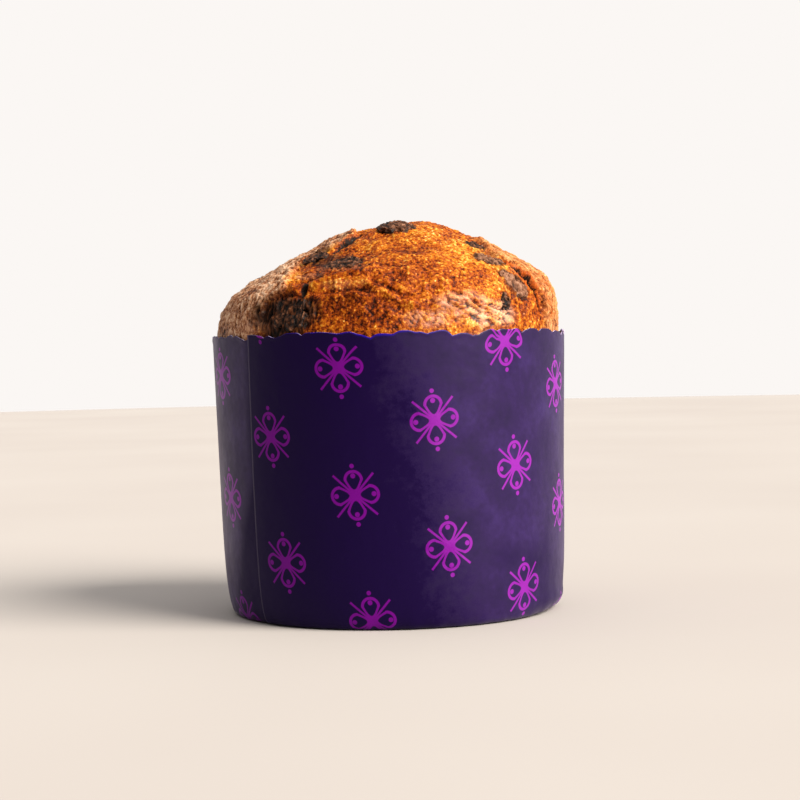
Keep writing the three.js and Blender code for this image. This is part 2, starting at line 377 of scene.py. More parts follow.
# Chocolate chunks: bearing, tilt, half sizes across and along, turn, how dusty, how flat their tops are
# pressed, and how far they have spread across and along
chunks = {
    1: (10, 31, (7.2, 6.0), 12, 0.75, 0.3, (1, 1)),
    2: (-38, 56, (6.4, 3.6), 38, 0.5, 0.65, (0.72, 1)),
    3: (-18, 62, (7.4, 4.2), 12, 0.5, 0.65, (1, 1)),
    4: (-33, 83.5, (8.2, 5.6), 6, 0.25, 1.0, (1, 1)),
    5: (52, 54, (5.6, 2.0), -52, 0.2, 0.25, (0.8, 1.6)),
    6: (46, 64.5, (5.8, 2.5), -46, 1.2, 0.1, (1.1, 1.8)),
    7: (48.5, 75, (6.8, 3.6), -40, 1.35, 0.6, (1.1, 1.2)),
    8: (41.5, 81.5, (3.4, 2.2), 70, 0.3, 0.5, (1, 1)),
    9: (104, 66, (5.8, 3.4), 25, 0.6, 0.6, (1, 1)),
    10: (146, 48, (7.0, 4.4), -30, 0.5, 0.5, (1, 1)),
    11: (176, 77, (7.6, 4.6), 10, 0.7, 0.7, (1, 1)),
    12: (-142, 58, (6.6, 3.8), 60, 0.5, 0.6, (1, 1)),
    13: (-98, 68, (6.0, 3.6), -15, 0.6, 0.85, (1, 1)),
}
# Places given as bearing, tilt, reach both ways and amount: melted chocolate smeared on the crust, the two
# beside the chunks on the right partly as painted shadow round them, and where the crust is darker or
# lighter, partly from browning and partly as painted shade and light
smears = [
    (-35, 85, 14, 9.5, 1.0), (-29, 58, 15, 5.5, 0.8), (-40, 52, 6, 5, 0.9), (12, 57, 7, 3.5, 0.3),
    (50, 60, 4, 6, 0.4), (46, 76, 5, 5, 0.35), (6, 40, 5, 3, 0.35), (-10, 44, 9, 5, 0.2),
    (172, 72, 12, 6, 0.7), (-146, 60, 9, 5, 0.6), (108, 66, 8, 5, 0.5),
]
browningAndShade = [
    (-8, 84, 20, 9, 0.22), (-2, 70, 13, 6, 0.28), (-19, 66, 15, 6, 0.4), (38, 60, 20, 16, -0.3),
    (22, 84, 16, 7, -0.15), (8, 48, 24, 10, -0.04), (-40, 70, 10, 6, -0.3), (150, 80, 30, 14, 0.3),
    (-120, 55, 20, 12, -0.2),
]
crumb = {
    "bulge": 0.9,
    "lump": 0.9,
    "granule": 1.7,
    "granuleHeight": 0.7,
    "grit": 1.1,
    "gritHeight": 0.5,
    "ridge": 0.3,
    "pitSpacing": 1.4,
    "pitDepth": 0.4,
    "flapStep": 1.2,
    "settle": 0.5,
    "wrinkle": 0.95,
    "leather": 0.75,
    "wander": 0.65,
    "meltFold": 1.1,
    # how far the outline is drawn out on each side, by tilt
    "left": [(15, 0), (30, -1.2), (45, -1.3), (55, -0.9), (64, -0.8), (70, -0.2), (74, 0.7), (78, 1.6),
             (83, 1.3), (88, 0.3), (90, 0)],
    "right": [(8, 0.2), (22, 0.7), (30, 0.5), (38, -0.7), (45, -0.3), (54, 0.8), (65, 0.6), (75, 1.0),
              (82, 0.4), (90, 0)],
}


def chunkPlace(values):
    # the point, and the directions across, along and out
    bearing, tilt, _, turn = values[:4]
    point, east, _, out = crustFrame(float(bearing), float(tilt))
    t = math.radians(turn)
    across = east * math.cos(t) + np.cross(out, east) * math.sin(t)
    return point, across, np.cross(out, across), out


def apartFrom(spot, bearing, tilt):
    # 0 in the middle of a spot given as bearing, tilt and reach both ways, and 1 on its edge
    return np.hypot(turned(bearing, spot[0]) / spot[2], (tilt - spot[1]) / spot[3])


def coverSkin(points, bearing, tilt, behind, wobble, ragged):
    # how far the old skin covers the crumb, how glossy it is, and how far inside its edge each point lies
    islands = 1.3 * field(points, 2.4, 26) + 1.1 * field(points, 6, 27)
    skin, margin, gloss = np.zeros(len(points)), np.full(len(points), -9.0), np.zeros(len(points))
    thinned = 1 - 0.3 * behind * smoothstep(48, 30, tilt)
    for flap in skinFlaps:
        low, high = (np.interp(tilt, *zip(*flap[edge])) for edge in ("low", "high"))
        around = (high - low) / 2 - np.abs(turned(bearing, (low + high) / 2))
        inside = np.minimum(around * np.sin(np.radians(np.clip(tilt, 20, 90))), tilt - flap["top"]) + ragged
        margin = np.maximum(margin, inside)
        soft = flap["soft"]
        clumped = inside + (soft - 1.2) * islands
        skin = np.maximum(skin, flap["amount"] * thinned * smoothstep(-soft, soft, clumped))
    for *spot, amount, shine in skinPatches:
        apart = apartFrom(spot, bearing, tilt)
        skin = np.maximum(skin, amount * smoothstep(1.15, 0.8, apart + 0.07 * wobble))
        gloss = np.maximum(gloss, shine * smoothstep(1.2, 0.5, apart + 0.05 * wobble))
    return skin, gloss, margin


def grainCrumb(points):
    # torn crumb: granules, grit and fine ridges
    granules = crumb["granuleHeight"] * (0.45 - field(points, crumb["granule"], 5, nearestCell))
    grit = crumb["gritHeight"] * (0.45 - field(points, crumb["grit"], 6, nearestCell))
    return granules + grit + crumb["ridge"] * (0.35 - np.abs(field(points, 4.2, 7)) * 1.6)


def wrinkleSkin(points, b, slanted):
    # dried skin: a net of fine wrinkles, and long ones down the slope on the right
    wrinkled = np.stack([field(slanted * [1, 1, 0.7], size, seed) for size, seed in ((2.1, 28), (3.6, 29))])
    net = crumb["leather"] * (smoothstep(0, 0.22, np.abs(wrinkled)).mean(axis=0) - 0.75)
    strip = np.stack([np.sin(b) * 70, np.cos(b) * 70, points[:, 2] * 0.14], -1)
    long = (np.cos(b - math.radians(80)) > 0.6) * 0.3 * field(strip, 1.9, 15)
    return net + long + 0.4 * field(points, 1.5, 10) + 0.3 * field(points, 3.4, 21)


def cutCreases(points, normals, rough, height):
    # returns the carved height, the painted shade inside the grooves, and the raw crumb bared beside them
    wavy = bend(points, 3, (16, 17, 18), crumb["wander"])
    creaseShade, raw = np.zeros(len(points)), np.zeros(len(points))
    for path, depth, width, lip, bared in creases:
        path = crustPoint(*np.array(path, float).T)
        best, side = np.full(len(points), 1e9), np.zeros(len(points))
        for start, end in zip(path[:-1], path[1:]):
            way = end - start
            share = np.clip((wavy - start) @ way / (way @ way), 0, 1)
            off = wavy - (start + share[:, None] * way)
            far = np.linalg.norm(off, axis=1)
            nearer = far < best
            best = np.where(nearer, far, best)
            side = np.where(nearer, np.sign(np.einsum("ij,ij->i", np.cross(off, way), normals)), side)
        ends = np.minimum(np.linalg.norm(wavy - path[0], axis=1), np.linalg.norm(wavy - path[-1], axis=1))
        thin = 0.45 + 0.55 * smoothstep(0, 3.5, ends)
        # painted shade: the wall under the lip is painted dark too, as if in its shadow
        shade = np.exp(-(best / (width * thin * np.where(side > 0, 1.3, 0.95))) ** 4)
        height = height - depth * thin * np.exp(-(best / (width * thin)) ** 2)
        height += lip * np.exp(-((best - width * 1.6) / (width * 1.4)) ** 2) * (side > 0) * thin
        creaseShade = np.maximum(creaseShade, shade * thin ** 0.5 * min(1, depth / 1.9) ** 1.8)
        raw = np.maximum(raw, bared * thin * np.exp(-((best - width * 1.3 - 0.4) / 0.45) ** 2))
    return height - 0.8 * rough * creaseShade, creaseShade, raw


def meltChocolate(points, bearing, tilt, wobble, ragged, height):
    # returns the height round the chunks, and how far chocolate stains the crust
    stain = np.zeros(len(points))
    for values in chunks.values():
        point, across, along, out = chunkPlace(values)
        (halfAcross, halfAlong), (spreadAcross, spreadAlong) = values[2], values[6]
        off = points - point
        apart = np.hypot(off @ across / (halfAcross * spreadAcross), off @ along / (halfAlong * spreadAlong))
        apart = np.where(np.abs(off @ out) < 12, apart, 9) + 0.1 * ragged
        stain = np.maximum(stain, smoothstep(1.3, 0.9, apart))
        # crumb rides up raggedly over the rim of the chunk
        height = height + (0.35 + 0.7 * field(points, 2.2, 24)) * np.exp(-((apart - 1.02) / 0.2) ** 2)
        height -= 0.5 * smoothstep(0.95, 0.7, apart)
    for *spot, amount in smears:
        apart = apartFrom(spot, bearing, tilt) + 0.09 * wobble
        stain = np.maximum(stain, amount * smoothstep(1.15, 0.55, apart))
    return height, stain


def makeCrust(points, bearing, tilt, normals):
    # returns how far each point moves out, and what the material needs to know
    b = np.radians(bearing)
    wobble = 3.0 * field(points, 9, 1) + 1.8 * field(points, 3.5, 2)
    # the edges run cleaner round the slab on the left, and wander more round the back
    behind = np.maximum(smoothstep(-66, -84, bearing), smoothstep(60, 90, bearing))
    ragged = wobble * (1 - 0.7 * smoothstep(52, 32, tilt) * (1 - behind)) + 1.2 * field(points, 1.4, 23)
    ragged += 6 * behind * field(points, 13, 30)
    skin, gloss, margin = coverSkin(points, bearing, tilt, behind, wobble, ragged)
    torn, smooth = 1 - skin, skin * (1 - gloss)

    slanted = points @ np.array([[1.0, 0.25, 0.0], [-0.2, 1.0, 0.1], [0.1, 0.0, 1.0]])
    pits = smoothstep(0.45, 0.1, field(slanted * [1, 1, 0.62], crumb["pitSpacing"], 8, nearestCell))
    pits *= smoothstep(-0.35, 0.3, field(points, 2.6, 9))
    # the shiny patches are smooth plates parted by thin slanted grooves
    warp = bend(points, 7, (11, 12, 13), 1.6)
    slant = np.stack([(warp @ [0.91, 0, -0.42]) / 4.2, warp[:, 1] / 14, (warp @ [0.42, 0, 0.91]) / 1.5], -1)
    plates = smoothstep(0.02, 0.24, np.abs(field(slant, 1, 14)))
    rough = torn * grainCrumb(points) + gloss * crumb["wrinkle"] * (plates - 0.6)
    rough += smooth * (wrinkleSkin(points, b, slanted) - crumb["pitDepth"] * pits)

    # old skin ends in a raised edge above the torn crumb
    soft = crumb["bulge"] * field(points, 16, 3) + crumb["lump"] * field(points, 5.5, 4)
    lipped = smoothstep(-1.0, 1.0, margin) * np.exp(-np.maximum(margin - 1, 0) / 5)
    height = soft - 0.15 + rough + crumb["flapStep"] * (lipped - 0.4 * smoothstep(1, -1, margin))
    height -= crumb["settle"] * smoothstep(2, 9, margin)
    for side, way in (("left", -1), ("right", 1)):
        height += np.interp(tilt, *zip(*crumb[side])) * smoothstep(0.35, 0.85, way * np.sin(b))
    # painted light and shade: raised crumb is painted lighter, low places darker
    relief = np.clip(0.5 + (rough - 0.05) / 1.1, 0, 1)
    height, creaseShade, raw = cutCreases(points, normals, rough, height)
    # painted shade in the skin's pits, in the grooves between the glossy plates, in the crumb's pits and in
    # the creases
    cavity = np.maximum.reduce([
        0.7 * smooth * pits, 0.42 * gloss * (1 - plates), 0.42 * torn * (1 - gloss) * pits, creaseShade])

    # melted chocolate dries into upright wrinkles
    height, stain = meltChocolate(points, bearing, tilt, wobble, ragged, height)
    upright = np.stack([np.sin(b) * 70, np.cos(b) * 70, points[:, 2] * 0.22], -1)
    folds = 1 - np.abs(field(upright + 0.16 * warp, 1.8, 22)) * 2.8
    height += stain * (tilt > 70) * (crumb["meltFold"] * (folds - 0.5) - 0.6 * rough)
    # painted shade: dark lines in the melt wrinkles
    relief = np.clip(relief + stain * (0.75 * (folds - 0.6) - 0.6 * (relief - 0.5)), 0, 1)
    # the crust presses flat against the paper and stays inside it
    hold = 1 - smoothstep(84, 90, tilt)
    height = np.where(tilt > 90, 0, np.minimum(height, 0.4 + 3 * hold) * (0.35 + 0.65 * hold))

    # browning that varies at random, with painted shade: the lower places are painted darker
    toast = 0.42 + 0.35 * field(points, 12, 19) + 0.3 * field(points, 4, 20) - 0.25 * soft
    for *spot, amount in browningAndShade:
        toast += amount * smoothstep(1.3, 0.2, apartFrom(spot, bearing, tilt))
    # the front's smooth places keep some of the crumb's colour
    torn = torn + (1 - torn) * (1 - gloss) * 0.5 * smoothstep(-38, -32, bearing) * smoothstep(52, 44, bearing)
    # the right-hand and back flaps baked paler and more golden than the left one
    golden = np.maximum.reduce([
        smoothstep(0.1, 0.7, np.cos(b - math.radians(85))), 0.8 * smoothstep(0.4, 0.9, -np.cos(b)),
        0.6 * behind * smoothstep(62, 25, tilt)])
    # painted sheen: paler streaks along the glossy plates
    streak = gloss * (0.05 + 0.95 * plates) * smoothstep(-0.5, 0.3, field(warp, 5, 25))
    return height, {"torn": torn, "toast": np.clip(toast, 0, 1), "cavity": cavity, "stain": stain,
                    "gloss": gloss, "relief": relief, "raw": raw, "streak": streak, "golden": golden}


def vertexNormals(points, faces):
    a, b, c = (points[faces[:, corner]] for corner in range(3))
    normals = np.zeros_like(points)
    for corner in range(3):
        np.add.at(normals, faces[:, corner], np.cross(b - a, c - a))
    return normals / np.linalg.norm(normals, axis=1)[:, None]


def makeCake(material):
    rings = makeRings()
    faces, starts = joinAll([ring[0] for ring in rings])
    points, bearing = (np.concatenate([ring[part] for ring in rings]) for part in (0, 1))
    tilt, reach = (np.repeat([ring[part] for ring in rings], np.diff(starts)) for part in (2, 3))
    normals = vertexNormals(points, faces)
    height, floats = makeCrust(points, bearing, tilt, normals)
    # the bake map: the top and side as one disc, the underside as a small one in the corner
    b = np.radians(bearing)
    around = np.stack([np.sin(b), -np.cos(b)], -1)
    spread = 0.5 + around * np.abs(reach)[:, None]
    below = (faces >= starts[-len(dome["floorRings"]) - 1]).any(axis=1)
    corner = 0.06 + around * np.where(reach > 0, 0.05, np.abs(reach))[:, None]
    uvs = np.where(below[:, None, None], corner[faces], spread[faces])
    return makePiece("cake_loaf", points + normals * height[:, None], faces, [material], floats, uvs)


def crustMaterial():
    # baked enriched dough: matt orange crumb where it tore open, brown leathery skin where it did not
    # cells per metre: 1.1 mm crumbs, 0.5 mm grains, 6 mm blotches, 1.4 mm moist beads
    material, known = newMaterial(
        "baked crust", ("torn", "toast", "cavity", "stain", "gloss", "relief", "raw", "streak", "golden"),
        (("crumbs", 880, 2), ("grains", 1900, 1), ("blotch", 160, 3)), {"Roughness": 0.6})
    tree = material.node_tree
    beads = addNode(tree, "ShaderNodeTexVoronoi", None, {"Vector": known["place"], "Scale": 700})
    chance = addNode(tree, "ShaderNodeSeparateColor", None, [beads.outputs["Color"]])
    known.update(bead=beads.outputs["Distance"], chance=chance.outputs[0], other=chance.outputs[1])
    return finishMaterial(material, known, (
        # painted highlights on some beads, which are glossier too, and painted shade of small holes on others
        ("bead", "MULTIPLY_ADD", "bead", -3.0, 1.3),
        ("dull", "SUBTRACT", 1.0, "gloss"),
        ("bead", "MULTIPLY", "bead", "dull"),
        ("shiny", "MULTIPLY_ADD", "chance", 6.0, -3.4),
        ("glint", "MULTIPLY", "bead", "shiny"),
        ("hollow", "MULTIPLY_ADD", "other", 6.0, -4.4),
        ("hollow", "MULTIPLY", "bead", "hollow"),
        *weighted("tone", -0.565, relief=0.5, crumbs=1.25, grains=0.48, blotch=0.24, toast=-0.45,
                  cavity=-0.55, gloss=0.02, glint=0.36, hollow=-0.18),
        *weighted("skinTone", -0.74, grains=0.7, crumbs=1.0, blotch=0.6, relief=0.75, cavity=-0.5,
                  toast=-0.3, glint=0.12, hollow=-0.25),
        ("stainShare", "MULTIPLY_ADD", "grains", 0.8, "stain"),
        ("stainShare", "MULTIPLY", "stainShare", "stain"),
        *weighted("stainTone", -0.06, relief=0.9, crumbs=0.22),
        ("warm", "MULTIPLY_ADD", "gloss", 0.95, "torn"),
        ("roughness", "MULTIPLY_ADD", "gloss", -0.18, 0.52),
        ("roughness", "MULTIPLY_ADD", "glint", -0.15, "roughness"),
        ("raw", "MULTIPLY_ADD", "crumbs", 0.7, "raw"),
        ("raw", "SUBTRACT", "raw", 0.45),
        ("shine", "MULTIPLY_ADD", "glint", 0.2, 0.12),
        ("shine", "MULTIPLY_ADD", "gloss", 0.35, "shine"),
        ("streak", "MULTIPLY", "streak", 0.8),
        # painted shade: where the shade is deepest the colour goes near black
        ("deep", "MULTIPLY_ADD", "cavity", 2.4, -1.2),
        ("bumpy", "MULTIPLY_ADD", "stainShare", -0.6, 0.8),
        ("tornColour", "ShaderNodeValToRGB", {"stops": [
            (0.0, "#1c0801"), (0.18, "#5e1f02"), (0.4, "#984306"), (0.6, "#bc6e15"), (0.8, "#e0a23e"),
            (1.0, "#f8d48c")]}, ["tone"]),
        ("skinColour", "ShaderNodeValToRGB", {"stops": [
            (0.05, "#240e05"), (0.3, "#65361c"), (0.52, "#98613e"), (0.78, "#c49775"), (1.0, "#dcbb9e")]},
         ["skinTone"]),
        ("tanColour", "ShaderNodeValToRGB", {"stops": [
            (0.0, "#361708"), (0.3, "#7a401d"), (0.52, "#a86838"), (0.78, "#c48f5c"), (1.0, "#dcb486")]},
         ["skinTone"]),
        ("stainColour", "ShaderNodeValToRGB", {"stops": [
            (0.15, "#090301"), (0.42, "#2b1409"), (0.66, "#55301b"), (0.9, "#8c5d44")]}, ["stainTone"]),
        ("covered", *blend, {0: "golden", 6: "skinColour", 7: "tanColour"}),
        ("mixed", *blend, {0: "warm", 6: "covered", 7: "tornColour"}),
        ("stained", *blend, {0: "stainShare", 6: "mixed", 7: "stainColour"}),
        # painted sheen on the glossy plates
        ("pale", *blend, {0: "streak", 6: "stained", 7: "#e3b294"}),
        ("bared", *blend, {0: "raw", 6: "pale", 7: "#bf5510"}),
        ("colour", *blend, {0: "deep", 6: "bared", 7: "#120501"}),
        ("bump", "ShaderNodeBump", None, {"Strength": "bumpy", "Distance": 0.0004, "Height": "crumbs"}),
        ("fine", "ShaderNodeBump", None,
         {"Strength": 0.5, "Distance": 0.0003, "Height": "grains", "Normal": "bump"}),
        ("shader", "ShaderNodeBsdfPrincipled", None,
         {"Base Color": "colour", "Roughness": "roughness", "IOR": 1.45, "Specular IOR Level": "shine",
          "Normal": "fine"}),
    ), ("stainShare", "warm", "bead", "shiny", "glint", "hollow", "raw", "streak", "deep"))


cake = makeCake(crustMaterial())
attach(cake, "root")
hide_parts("cake")
print("cake:", len(cake.data.polygons), "faces")


def chocolateMaterial():
    # baked dark chocolate: broken and half melted, bloomed grey-brown on its flakes, with painted shade
    # making it black in its cracks
    # cells per metre: 1.6 mm melt folds, 0.6 mm crumbs
    material, known = newMaterial("baked dark chocolate", ("dust", "relief"),
                                  (("folds", 620, 3), ("crumbs", 1700, 2)), {"Distortion": 0.8})
    return finishMaterial(material, known, (
        *weighted("cover", -0.82, folds=1.1, crumbs=0.45, relief=0.7, dust=0.35),
        ("roughness", "MULTIPLY_ADD", "cover", 0.35, 0.38),
        ("colour", "ShaderNodeValToRGB", {"stops": [
            (0.1, "#060201"), (0.3, "#1d0d06"), (0.5, "#442615"), (0.74, "#7a5038"), (1.0, "#a27a62")]},
         ["cover"]),
        ("bump", "ShaderNodeBump", None, {"Strength": 0.9, "Distance": 0.0006, "Height": "folds"}),
        ("fine", "ShaderNodeBump", None,
         {"Strength": 0.6, "Distance": 0.0003, "Height": "crumbs", "Normal": "bump"}),
        ("shader", "ShaderNodeBsdfPrincipled", None,
         {"Base Color": "colour", "Roughness": "roughness", "IOR": 1.46, "Specular IOR Level": 0.22,
          "Normal": "fine"}),
    ), ("roughness",))


def makeChunk(number, values, material):
    # the plain solid, subdivided, then broken up with facets and melt wrinkles
    name = "chocolate_chunk_%d" % number
    piece = bpy.data.objects.new("chunk_%d" % number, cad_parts[name].data.copy())
    scene.collection.objects.link(piece)
    piece.modifiers.new("joined", "WELD").merge_threshold = 0.00001
    divide = piece.modifiers.new("finer", "SUBSURF")
    divide.levels = divide.render_levels = 3
    mesh = settle(piece, piece.name)
    points = readArray(mesh.vertices, "co", 3) / mm
    normals = readArray(mesh.vertices, "normal", 3)
    point, across, along, out = chunkPlace(values)
    inFrame = (points - point) @ np.stack([across, along, out], -1)
    half, _, dust, flat, spread = values[2:]
    broken = (1.12 + 0.4 * field(inFrame * [1, 1, 0.3], half[0] * 0.5, 30 + number)
              + 0.25 * field(inFrame * [1, 1, 0.5], 1.7, 50 + number))
    inFrame[:, :2] *= broken[:, None] * spread
    melt = 1 - 3 * np.abs(field(inFrame * [1.0, 0.45, 1.0], 1.5, 60 + number))
    facets = field(inFrame, 3.0, 40 + number, nearestCell)
    lift = 0.9 * (0.4 - facets) + 0.6 * (melt - 0.4) + 0.3 * field(inFrame, 1.1, 90 + number)
    top = smoothstep(-0.2, 0.8, normals @ out)
    inFrame[:, 2] += top * lift * (1 - 0.35 * flat) - flat * np.maximum(inFrame[:, 2], 0) - 0.3 * flat ** 4
    points = point + inFrame @ np.stack([across, along, out])
    mesh.vertices.foreach_set("co", (points * mm).ravel())
    mesh.polygons.foreach_set("use_smooth", np.ones(len(mesh.polygons), bool))
    # painted light and shade: raised places painted lighter, cracks darker
    relief = np.clip(0.5 + (0.9 - 0.4 * dust) * lift, 0, 1)
    for label, amount in (("dust", np.full(len(points), dust)), ("relief", relief)):
        mesh.attributes.new(label, "FLOAT", "POINT").data.foreach_set("value", amount)
    mesh.materials.clear()
    mesh.materials.append(material)
    mesh.update()
    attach(piece, "root")
    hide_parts(name)
    return piece


chocolate = chocolateMaterial()
madeChunks = [makeChunk(number, values, chocolate) for number, values in chunks.items()]
print("chunks:", sum(len(piece.data.polygons) for piece in madeChunks), "faces")

# sizes of the wound sheet, which its node tree takes beside the mould's
sheetSizes = {
    "columns": 481,
    "rows": 76,
    "seamBearing": -49.5,
    "sweep": 375.0,
    "seamRamp": 12.0,
    "seamDrop": 0.4,
    "flange": 11.0,
    "foldRadius": 1.6,
    "waveDepth": 0.45,
    "waveLength": 26.0,
    "scallopPitch": 5.6,
    "scallopDepth": 1.3,
    "pleats": 46.0,
    "pleatDepth": 0.35,
}
paper = {
    "thickness": 0.3,
    # bearing, reach in degrees, depth of the rim's low places
    "rimDips": [(-41, 6, 0.9), (-4, 5, 1.2), (25, 5, 1.5), (76, 10, 1.6), (118, 7, 1.4), (158, 6, 1.8),
                (201, 9, 1.3), (246, 6, 1.6), (283, 8, 0.4)],
    # bearing, reach, height, reach in height, how far out
    "dents": [(72, 17, 5, 3.2, 1.1), (86, 20, 112, 38, 0.8), (-90, 16, 112, 20, 0.3),
              (-58, 9, 104, 34, -0.55), (38, 8, 60, 40, -0.25), (-5, 10, 34, 30, -0.2)],
    "lift": (74, 17, 0.9),
}


def paperTree():
    # one sheet wound round the loaf: it overlaps at the seam and turns in under the base
    tree = bpy.data.node_groups.new("wound paper sheet", "GeometryNodeTree")
    tree.is_modifier = True
    wanted = {}
    for label, value in {"paper": None, **mould, **sheetSizes}.items():
        kind = "Material" if value is None else "Int" if isinstance(value, int) else "Float"
        socket = tree.interface.new_socket(name=label, in_out="INPUT", socket_type="NodeSocket" + kind)
        wanted[socket.identifier] = value
    tree.interface.new_socket(name="Geometry", in_out="OUTPUT", socket_type="NodeSocketGeometry")
    group = addNode(tree, "NodeGroupInput")
    known = {socket.name: socket for socket in group.outputs if socket.name}
    grid = addNode(tree, "GeometryNodeMeshGrid", None,
                   {"Size X": 1.0, "Size Y": 1.0, "Vertices X": "columns", "Vertices Y": "rows"}, known)
    parts = addNode(tree, "ShaderNodeSeparateXYZ", None, [grid.outputs["UV Map"]])
    known.update(zip("uv", parts.outputs), grid=grid.outputs["Mesh"], map=grid.outputs["UV Map"])
    addRows(tree, known, (
        ("turn", "MULTIPLY_ADD", "u", "sweep", "seamBearing"),
        ("angle", "RADIANS", "turn"),
        ("arc", "MULTIPLY", "angle", "rimRadius"),
        # rows lie closer together at the fold and at the rim
        ("bunch", "MULTIPLY", "v", 2 * math.pi),
        ("bunch", "SINE", "bunch"),
        ("share", "MULTIPLY_ADD", "bunch", -0.11, "v"),
        ("length", "ADD", "height", "flange"),
        ("sheet", "MULTIPLY", "share", "length"),
        ("sheet", "SUBTRACT", "sheet", "flange"),
        # the rounded corner: how high a place on the sheet stands, and how far in it is turned
        ("corner", "MULTIPLY", "foldRadius", "foldRadius"),
        ("corner", "MULTIPLY_ADD", "sheet", "sheet", "corner"),
        ("corner", "SQRT", "corner"),
        ("rise", "ADD", "corner", "sheet"),
        ("rise", "MULTIPLY", "rise", 0.5),
        ("inward", "SUBTRACT", "corner", "sheet"),
        ("inward", "MULTIPLY", "inward", 0.5),
        ("below", "DIVIDE", "rise", "height"),
        ("below", "SUBTRACT", 1.0, "below"),
        ("below", "MAXIMUM", "below", 0.0),
        ("taper", "POWER", "below", 1.3),
        ("taper", "MULTIPLY", "taper", "wallTaper"),
        ("tuck", "DIVIDE", "rise", "tuckHeight"),
        ("tuck", "MULTIPLY", "tuck", -1.0),
        ("tuck", "EXPONENT", "tuck"),
        ("tuck", "MULTIPLY", "tuck", "footTuck"),
        ("lean", "POWER", "below", 1.5),
        ("lean", "MULTIPLY_ADD", "lean", "footLean", "rimCentre"),
        # the end of the sheet slips under its start
        ("rampStart", "ADD", "seamBearing", 360.0),
        ("rampFrom", "SUBTRACT", "rampStart", "seamRamp"),
        ("under", "ShaderNodeMapRange", {"interpolation_type": "SMOOTHSTEP"},
         {"Value": "turn", "From Min": "rampFrom", "From Max": "rampStart"}),
        ("drop", "MULTIPLY", "under", "seamDrop"),
        ("waveX", "DIVIDE", "arc", "waveLength"),
        ("waveY", "DIVIDE", "rise", "waveLength"),
        ("waveY", "MULTIPLY", "waveY", 0.4),
        ("spot", "ShaderNodeCombineXYZ", {}, ["waveX", "waveY"]),
        ("waves", "ShaderNodeTexNoise", {"noise_dimensions": "2D"},
         {"Vector": "spot", "Scale": 1.0, "Detail": 2.0}),
        ("waved", "MULTIPLY", "waves", "waveDepth"),
        # pleats at the foot, gone within about 6 mm
        ("pleat", "MULTIPLY", "angle", "pleats"),
        ("pleat", "SINE", "pleat"),
        ("pleat", "MULTIPLY_ADD", "pleat", 0.5, 0.5),
        ("pleat", "MULTIPLY", "pleat", "pleatDepth"),
        ("fade", "MULTIPLY", "rise", -0.35),
        ("fade", "EXPONENT", "fade"),
        ("pleatIn", "MULTIPLY", "pleat", "fade"),
        *weighted("radius", 0.0, rimRadius=1, taper=-1, tuck=-1, inward=-1, drop=-1, waved=-1, pleatIn=-1),
        ("flatShare", "DIVIDE", "inward", "flange"),
        ("pleatUp", "MULTIPLY", "pleat", "flatShare"),
        ("pleatUp", "MULTIPLY", "pleatUp", 0.6),
        ("underUp", "MULTIPLY", "under", "fade"),
        ("underUp", "MULTIPLY", "underUp", 0.36),
        # small bites along the cut rim, wandering in pitch and size
        ("bitePhase", "DIVIDE", "arc", "scallopPitch"),
        ("slow", "MULTIPLY_ADD", "bitePhase", 0.45, 4.0),
        ("biteWander", "ShaderNodeTexNoise", {"noise_dimensions": "1D"},
         {"W": "slow", "Scale": 1.0, "Detail": 1.0}),
        ("quick", "ADD", "bitePhase", 9.0),
        ("biteSize", "ShaderNodeTexNoise", {"noise_dimensions": "1D"},
         {"W": "quick", "Scale": 1.0, "Detail": 1.0}),
        ("bite", "MULTIPLY_ADD", "biteWander", 3.2, "bitePhase"),
        ("bite", "MULTIPLY", "bite", math.pi / 2),
        ("bite", "SINE", "bite"),
        ("bite", "ABSOLUTE", "bite"),
        ("bite", "SUBTRACT", "bite", 1.0),
        ("bite", "MULTIPLY", "bite", "biteSize"),
        ("bite", "MULTIPLY", "bite", "scallopDepth"),
        ("bite", "MULTIPLY", "bite", 1.9),
        ("bite", "MULTIPLY_ADD", "under", -1.4, "bite"),
        ("nearRim", "ShaderNodeMapRange", {"interpolation_type": "SMOOTHSTEP"},
         {"Value": "rise", "From Min": 100.0, "From Max": "height"}),
        ("z", "MULTIPLY_ADD", "bite", "nearRim", "rise"),
        ("z", "ADD", "z", "pleatUp"),
        ("z", "ADD", "z", "underUp"),
        ("sine", "SINE", "angle"),
        ("cosine", "COSINE", "angle"),
        ("x", "MULTIPLY_ADD", "radius", "sine", "lean"),
        ("y", "MULTIPLY", "radius", "cosine"),
        ("y", "MULTIPLY", "y", -1.0),
        ("place", "ShaderNodeCombineXYZ", None, ["x", "y", "z"]),
        ("metres", "ShaderNodeVectorMath", {"operation": "SCALE"}, {"Vector": "place", "Scale": mm}),
        ("onSheet", "ShaderNodeCombineXYZ", None, ["turn", "sheet"]),
        ("kept", "GeometryNodeStoreNamedAttribute", {"data_type": "FLOAT_VECTOR", "domain": "POINT"},
         {"Geometry": "grid", "Name": "sheetPlace", "Value": "onSheet"}),
        ("mapped", "GeometryNodeStoreNamedAttribute", {"data_type": "FLOAT2", "domain": "CORNER"},
         {"Geometry": "kept", "Name": "OFBake", "Value": "map"}),
        ("moved", "GeometryNodeSetPosition", None, {"Geometry": "mapped", "Position": "metres"}),
        ("real", "GeometryNodeRealizeInstances", None, {"Geometry": "moved"}),
        ("covered", "GeometryNodeSetMaterial", None, {"Geometry": "real", "Material": "paper"}),
    ))
    addNode(tree, "NodeGroupOutput", None, ["covered"], known)
    return tree, wanted


